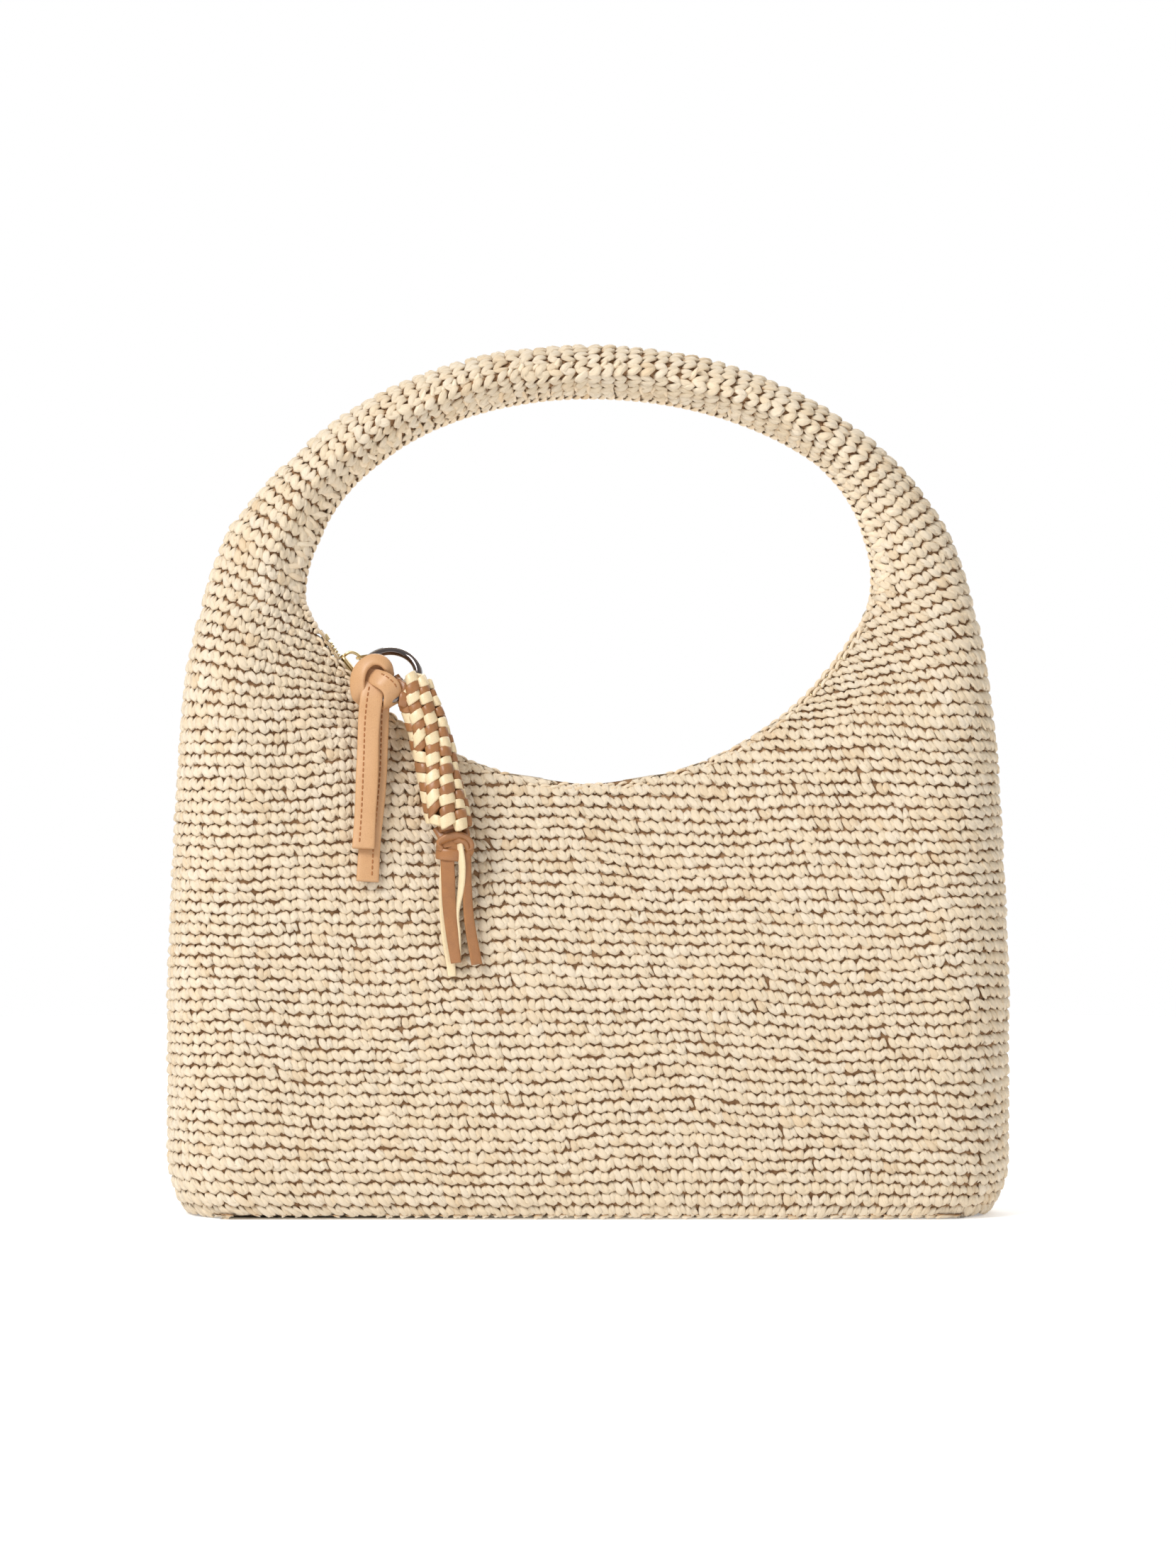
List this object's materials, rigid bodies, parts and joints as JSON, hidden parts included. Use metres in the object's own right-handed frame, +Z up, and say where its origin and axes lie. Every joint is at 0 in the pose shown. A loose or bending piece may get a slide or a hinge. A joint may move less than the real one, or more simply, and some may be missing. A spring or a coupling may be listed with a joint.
{
  "type": "hobo bag",
  "caption": "Slouchy crocheted raffia hobo bag with a looped handle, curved zipped mouth, leather zip pull and braided charm.",
  "frame": {"origin": "middle of the flat base, on the surface that the bag stands on", "axes": "+Z up, +X along the bag's width to the right seen from the front, the front with the pull and charm faces -Y"},
  "size_m": [0.3292, 0.0803, 0.3396],
  "materials": {
    "raffia": "crocheted straw, satin",
    "raffia_edge": "crocheted straw, satin",
    "lining_cotton": "plain weave, matte",
    "stiffener": "matte",
    "filler_rope": "matte",
    "zip_tape": "woven, matte",
    "zip_metal": "polished",
    "ring_metal": "polished",
    "leather_tan": "smooth, semi-gloss",
    "lace_brown": "smooth, semi-gloss",
    "lace_cream": "smooth, semi-gloss"
  },
  "bodies": {
    "bag": {"raffia_base": "raffia", "raffia_front_wall": "raffia", "raffia_back_wall": "raffia", "base_board": "stiffener", "lining_base": "lining_cotton", "lining_front": "lining_cotton", "lining_back": "lining_cotton", "lining_pocket": "lining_cotton", "mouth_edging_front": "raffia_edge", "mouth_edging_back": "raffia_edge", "zip_tape_front": "zip_tape", "zip_tape_back": "zip_tape", "zip_teeth_front": "zip_metal", "zip_teeth_back": "zip_metal", "zip_top_stop_front": "zip_metal", "zip_top_stop_back": "zip_metal", "zip_bottom_stop": "zip_metal"},
    "handle": {"handle_right_arm": "raffia", "handle_left_arm": "raffia", "handle_join": "raffia", "handle_core": "filler_rope", "handle_inner_seam": "raffia_edge"},
    "slider": {"slider_body": "zip_metal", "slider_bridge": "zip_metal"},
    "pull": {"pull_loop": "zip_metal"},
    "ring": {"o_ring": "ring_metal", "strap_knot": "leather_tan"},
    "strap": {"strap_tail_front": "leather_tan", "strap_tail_rear": "leather_tan"},
    "charm": {"charm_loop": "lace_brown", "braid_charm": "lace_cream"},
    "tassel": {"tassel_knot": "lace_brown", "tassel_lace_tan_left": "lace_brown", "tassel_lace_cream_middle": "lace_cream", "tassel_lace_tan_right": "lace_brown", "tassel_lace_cream_rear": "lace_cream"}
  },
  "joints": [
    {"name": "handle_tilt", "type": "hinge", "parent": "bag", "child": "handle", "pos_m": [0, 0, 0.246], "axis": [1, 0, 0], "range_deg": [-25, 25]},
    {"name": "slider_travel", "type": "hinge", "parent": "bag", "child": "slider", "pos_m": [0, 0, 0.289], "axis": [0, -1, 0], "range_deg": [0, 100]},
    {"name": "pull_hang", "type": "hinge", "parent": "slider", "child": "pull", "pos_m": [-0.08859, 0, 0.21726], "axis": [0, -1, 0], "range_deg": [-100, 0]},
    {"name": "pull_lean", "type": "hinge", "parent": "pull", "child": "ring", "pos_m": [-0.083, -0.012, 0.2183], "axis": [-1, 0, 0], "range_deg": [0, 37]},
    {"name": "strap_swing", "type": "hinge", "parent": "ring", "child": "strap", "pos_m": [-0.0827, -0.0175, 0.1985], "axis": [-1, 0, 0], "range_deg": [0, 40]},
    {"name": "charm_swing", "type": "hinge", "parent": "ring", "child": "charm", "pos_m": [-0.0672, -0.0153, 0.2028], "axis": [-1, 0, 0], "range_deg": [0, 45]},
    {"name": "tassel_swing", "type": "hinge", "parent": "charm", "child": "tassel", "pos_m": [-0.0533, -0.0328, 0.152], "axis": [-1, 0, 0], "range_deg": [0, 30]}
  ],
  "couplings": [
    {"joint": "pull_hang", "follows": "slider_travel", "ratio": -1},
    {"joint": "pull_lean", "follows": "slider_travel", "ratio": 0.36}
  ]
}
